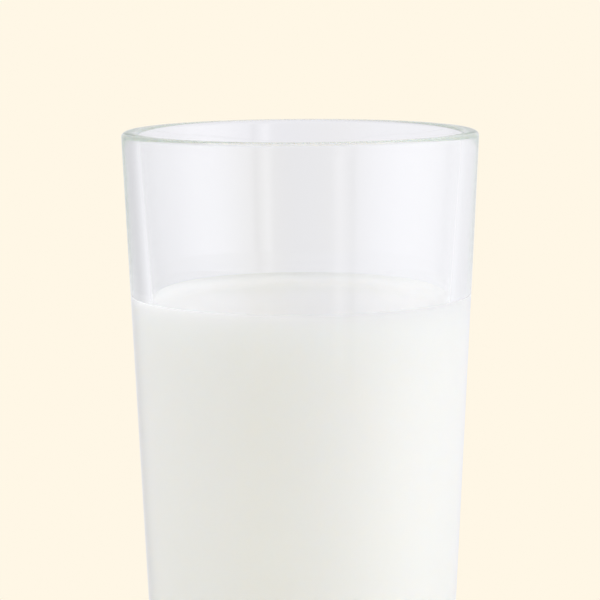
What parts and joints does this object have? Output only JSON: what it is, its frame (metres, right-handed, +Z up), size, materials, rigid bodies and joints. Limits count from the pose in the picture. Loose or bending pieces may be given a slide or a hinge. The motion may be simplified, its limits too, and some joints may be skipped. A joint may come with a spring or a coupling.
{
  "type": "glass of milk",
  "caption": "Clear conical highball tumbler with a thick base, filled with white milk to about three quarters of its height.",
  "frame": {"origin": "centre of the tumbler's foot, in the plane of the surface that it stands on", "axes": "+Z up along the tumbler's axis, from the foot to the lip; X and Y are free, because every piece is round about Z"},
  "size_m": [0.0718, 0.0718, 0.145],
  "materials": {
    "clear_glass": "fire-polished, smooth and clear, with a very faint green in the thick glass",
    "milk": "whole milk: opaque creamy white liquid with a wet, glossy surface"
  },
  "bodies": {
    "root": {"glass": "clear_glass", "milk": "milk"}
  },
  "joints": []
}
